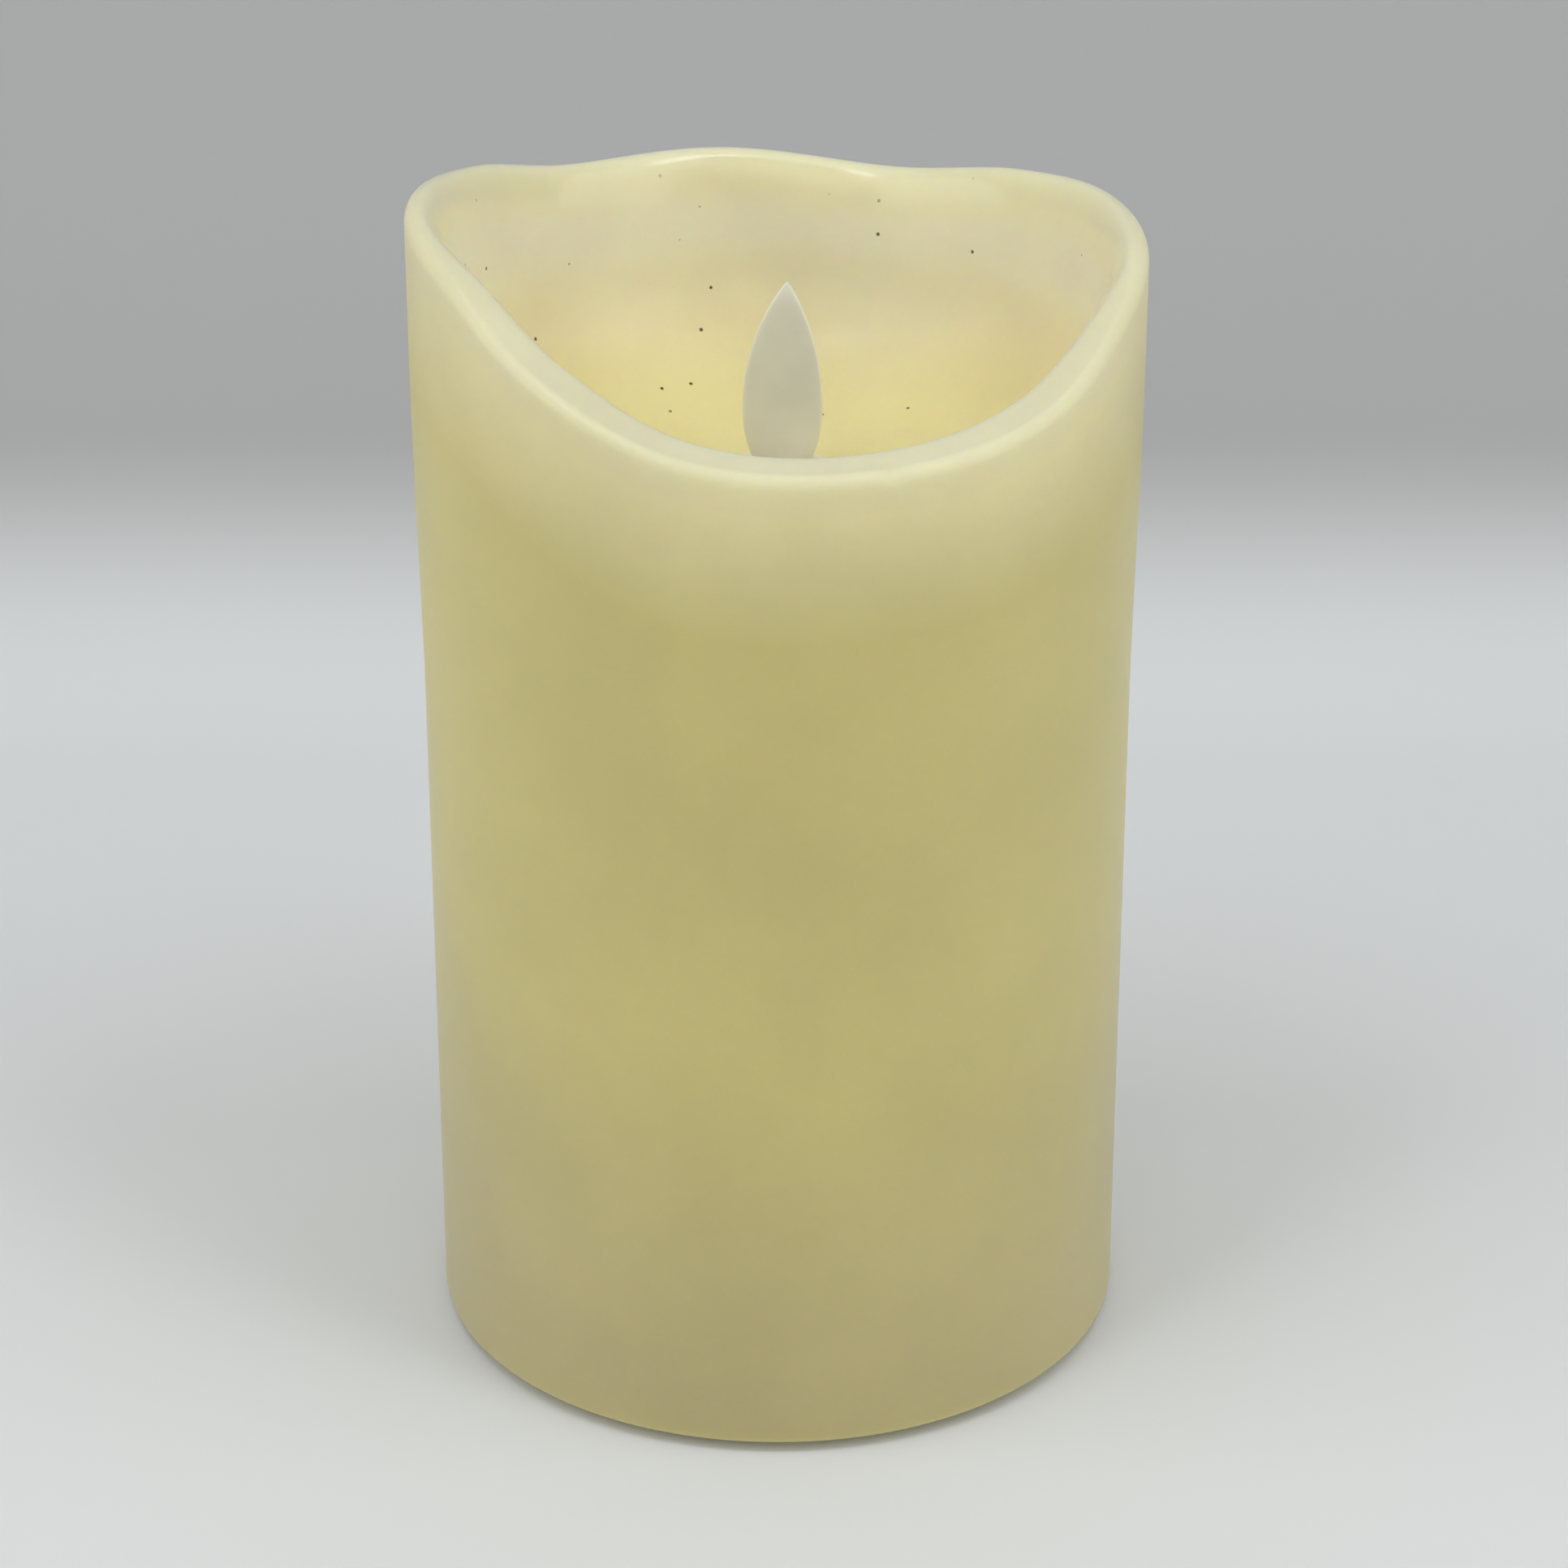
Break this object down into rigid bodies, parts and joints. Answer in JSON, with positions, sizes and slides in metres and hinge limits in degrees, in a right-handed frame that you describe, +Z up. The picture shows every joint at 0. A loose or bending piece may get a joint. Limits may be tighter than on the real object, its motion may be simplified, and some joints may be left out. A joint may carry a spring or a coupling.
{
  "type": "flameless led candle",
  "caption": "Battery pillar candle in real wax with a low front rim and a swinging flame leaf over a hidden LED.",
  "frame": {"origin": "centre of the foot's underside, on the surface that the candle stands on", "axes": "+Z up along the candle; the rim's low side and the seen side face -Y; +X to the viewer's right"},
  "size_m": [0.077, 0.077, 0.1285],
  "materials": {
    "ivory_wax": "poured paraffin wax, satin; it stands in as matte plastic",
    "ivory_plastic": "moulded, fine matte",
    "core_plastic": "moulded, satin",
    "flame_white": "translucent, frosted",
    "black_plastic": "moulded, fine matte",
    "zinc_steel": "zinc plated",
    "nickel_plate": "nickel-plated sheet",
    "magnet_nickel": "nickel-plated magnet",
    "enamelled_copper": null,
    "board_green": "solder mask",
    "capacitor_sleeve": "shrink sleeve",
    "resistor_body": "coated chip",
    "battery_jacket": "plain label, gloss",
    "led_lens": "clear epoxy with a warm tint",
    "red_insulation": "PVC",
    "black_insulation": "PVC"
  },
  "bodies": {
    "candle_body": {"wax_shell": "ivory_wax", "base_housing": "ivory_plastic", "core_front": "core_plastic", "core_back": "core_plastic", "coil_bobbin": "core_plastic", "pivot_wire": "zinc_steel", "battery_cell_1": "battery_jacket", "battery_cell_2": "battery_jacket", "contact_positive": "nickel_plate", "contact_negative": "nickel_plate", "contact_bridge": "nickel_plate", "spring_bridge": "zinc_steel", "spring_negative": "zinc_steel", "switch_body": "zinc_steel", "coil_winding": "enamelled_copper", "coil_pin": "zinc_steel", "led": "led_lens", "circuit_board": "board_green", "control_chip": "black_plastic", "capacitor": "capacitor_sleeve", "resistor_1": "resistor_body", "resistor_2": "resistor_body", "transistor": "black_plastic", "board_screw_1": "zinc_steel", "board_screw_2": "zinc_steel", "base_screw_1": "zinc_steel", "base_screw_2": "zinc_steel", "base_screw_3": "zinc_steel", "base_screw_4": "zinc_steel", "core_screw_1": "zinc_steel", "core_screw_2": "zinc_steel", "lead_positive": "red_insulation", "lead_switched": "red_insulation", "lead_negative": "black_insulation", "lead_led_plus": "red_insulation", "lead_led_minus": "black_insulation", "coil_lead_start": "enamelled_copper", "coil_lead_end": "enamelled_copper"},
    "flame": {"flame_leaf": "flame_white", "flame_magnet": "magnet_nickel"},
    "door": {"battery_door": "ivory_plastic"},
    "switch": {"switch_knob": "black_plastic"}
  },
  "joints": [
    {"name": "flame_sway", "type": "hinge", "parent": "candle_body", "child": "flame", "pos_m": [0.0005, 0, 0.0907], "axis": [0, 1, 0], "range_deg": [-12, 12]},
    {"name": "door_hinge", "type": "hinge", "parent": "candle_body", "child": "door", "pos_m": [-0.027, 0, 0.0012], "axis": [0, 1, 0], "range_deg": [0, 70]},
    {"name": "switch_slide", "type": "slide", "parent": "candle_body", "child": "switch", "axis": [1, 0, 0], "range_m": [0, 0.004]}
  ]
}
